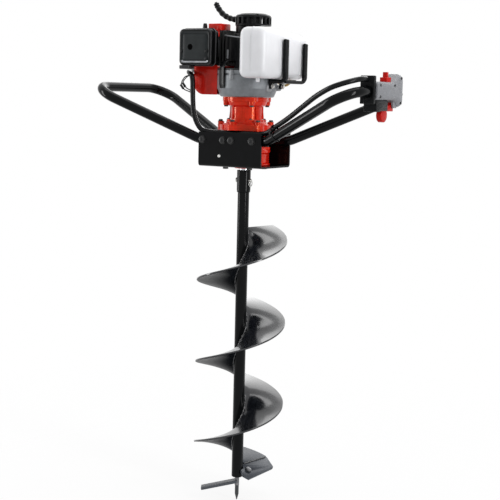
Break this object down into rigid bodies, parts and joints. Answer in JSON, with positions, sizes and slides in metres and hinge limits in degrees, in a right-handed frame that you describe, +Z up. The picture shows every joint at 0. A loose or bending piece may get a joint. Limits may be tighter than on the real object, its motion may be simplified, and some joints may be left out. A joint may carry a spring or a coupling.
{
  "type": "motor driven earth auger",
  "caption": "Hand-held earth auger: helical bit under a channel frame with a gearbox and small engine, two bent tube handle loops and a throttle on one grip.",
  "frame": {"origin": "tip of the pilot point, on the auger axis", "axes": "+Z up along the auger axis, +X towards the throttle grip, muffler facing -Y"},
  "size_m": [0.6891, 0.2722, 1.1382],
  "materials": {
    "black_paint": "gloss black enamel",
    "worn_steel": "dark coated steel",
    "bolt_steel": "plated",
    "bare_steel": "machined",
    "friction_metal": "sintered",
    "cast_metal": "as cast",
    "red_paint": "gloss red enamel",
    "red_plastic": "moulded",
    "black_plastic": "moulded",
    "muffler_black": "heat resistant black",
    "tank_plastic": "blow moulded, translucent",
    "grey_plastic": "moulded",
    "light_plastic": "moulded",
    "clear_rubber": "clear flexible",
    "black_rubber": "moulded",
    "plug_ceramic": "glazed",
    "filter_foam": "foam",
    "rope_fibre": "braided"
  },
  "bodies": {
    "chassis": {"frame_channel": "black_paint", "handle_left": "black_paint", "handle_right": "black_paint", "handle_bolts": "bolt_steel", "base_bolts": "black_paint", "gear_case": "red_paint", "gear_mid": "red_paint", "gear_cover": "red_paint", "cover_bolts": "bolt_steel", "bearings": "bare_steel", "shaft_seal": "black_rubber", "clutch_housing": "red_paint", "housing_bolts": "bolt_steel", "fan_case": "cast_metal", "fan_shroud": "red_plastic", "crankcase": "muffler_black", "engine_cylinder": "muffler_black", "cylinder_cover": "red_plastic", "spark_plug": "plug_ceramic", "plug_boot": "black_rubber", "ignition_coil": "black_plastic", "muffler": "muffler_black", "muffler_bolts": "bolt_steel", "intake_spacer": "black_plastic", "carburettor": "cast_metal", "filter_base": "black_plastic", "filter_element": "filter_foam", "filter_cover": "black_plastic", "fuel_tank": "tank_plastic", "fuel_hose": "clear_rubber", "tank_guard": "black_paint", "starter_case": "black_plastic", "rewind_spring": "bare_steel", "throttle_clamp": "black_plastic", "throttle_housing": "grey_plastic", "throttle_conduit": "black_rubber"},
    "bit": {"auger_tube": "black_paint", "auger_flight": "worn_steel", "cutter_blade": "worn_steel", "side_blade": "worn_steel", "blade_bolts": "bolt_steel", "pilot_point": "worn_steel", "coupling_pin": "bolt_steel", "output_shaft": "bare_steel", "output_gear": "bare_steel"},
    "idler": {"idler_gear": "bare_steel"},
    "drum": {"clutch_drum": "bare_steel"},
    "rotor": {"clutch_shoes": "friction_metal", "clutch_spring": "bare_steel", "flywheel": "cast_metal", "crankshaft": "bare_steel"},
    "puller": {"pull_handle": "black_plastic", "starter_rope": "rope_fibre"},
    "reel": {"starter_reel": "light_plastic"},
    "trigger": {"throttle_trigger": "red_plastic"},
    "switch": {"stop_switch": "red_plastic"},
    "carb_arm": {"throttle_arm": "bare_steel"},
    "choke": {"choke_lever": "black_plastic"},
    "primer": {"primer_bulb": "clear_rubber"},
    "cap": {"fuel_cap": "black_plastic"}
  },
  "joints": [
    {"name": "bit_spin", "type": "hinge", "parent": "chassis", "child": "bit", "pos_m": [0, 0, 0], "axis": [0, 0, 1], "continuous": true},
    {"name": "idler_spin", "type": "hinge", "parent": "chassis", "child": "idler", "pos_m": [-0.00566, 0.0315, 0], "axis": [0, 0, 1], "continuous": true},
    {"name": "drum_spin", "type": "hinge", "parent": "chassis", "child": "drum", "pos_m": [0.0035, 0, 0], "axis": [0, 0, 1], "continuous": true},
    {"name": "crank_spin", "type": "hinge", "parent": "chassis", "child": "rotor", "pos_m": [0.0035, 0, 0], "axis": [0, 0, 1], "continuous": true},
    {"name": "starter_pull", "type": "slide", "parent": "chassis", "child": "puller", "axis": [-1, 0, 0], "range_m": [0, 0.6], "stiffness_N_per_m": 12, "springref_m": -0.5},
    {"name": "reel_spin", "type": "hinge", "parent": "chassis", "child": "reel", "pos_m": [0.0035, 0, 0], "axis": [0, 0, 1], "range_deg": [0, 1570]},
    {"name": "trigger_swing", "type": "hinge", "parent": "chassis", "child": "trigger", "pos_m": [0.328, 0.052, 0.916], "axis": [-1, 0, 0], "range_deg": [0, 10], "stiffness_Nm_per_rad": 0.4, "springref_deg": -17.19},
    {"name": "switch_rock", "type": "hinge", "parent": "chassis", "child": "switch", "pos_m": [0.328, 0.026, 0.96], "axis": [1, 0, 0], "range_deg": [-10, 10]},
    {"name": "carb_arm_turn", "type": "hinge", "parent": "chassis", "child": "carb_arm", "pos_m": [-0.065, 0.056, 1.032], "axis": [0, 0, 1], "range_deg": [0, 50]},
    {"name": "choke_turn", "type": "hinge", "parent": "chassis", "child": "choke", "pos_m": [-0.065, 0.071, 1.032], "axis": [0, 0, -1], "range_deg": [0, 75]},
    {"name": "primer_press", "type": "slide", "parent": "chassis", "child": "primer", "axis": [0, 0, 1], "range_m": [0, 0.005], "stiffness_N_per_m": 400, "deforming": ["primer_bulb"]},
    {"name": "cap_turn", "type": "hinge", "parent": "chassis", "child": "cap", "pos_m": [0.068, 0, 1.046], "axis": [0, 1, 0], "range_deg": [0, 360]}
  ],
  "couplings": [
    {"joint": "idler_spin", "follows": "bit_spin", "ratio": -3.5714},
    {"joint": "drum_spin", "follows": "bit_spin", "ratio": 17.347},
    {"joint": "reel_spin", "follows": "starter_pull", "rad_per_m": 45.455},
    {"joint": "carb_arm_turn", "follows": "trigger_swing", "ratio": 4.5}
  ]
}
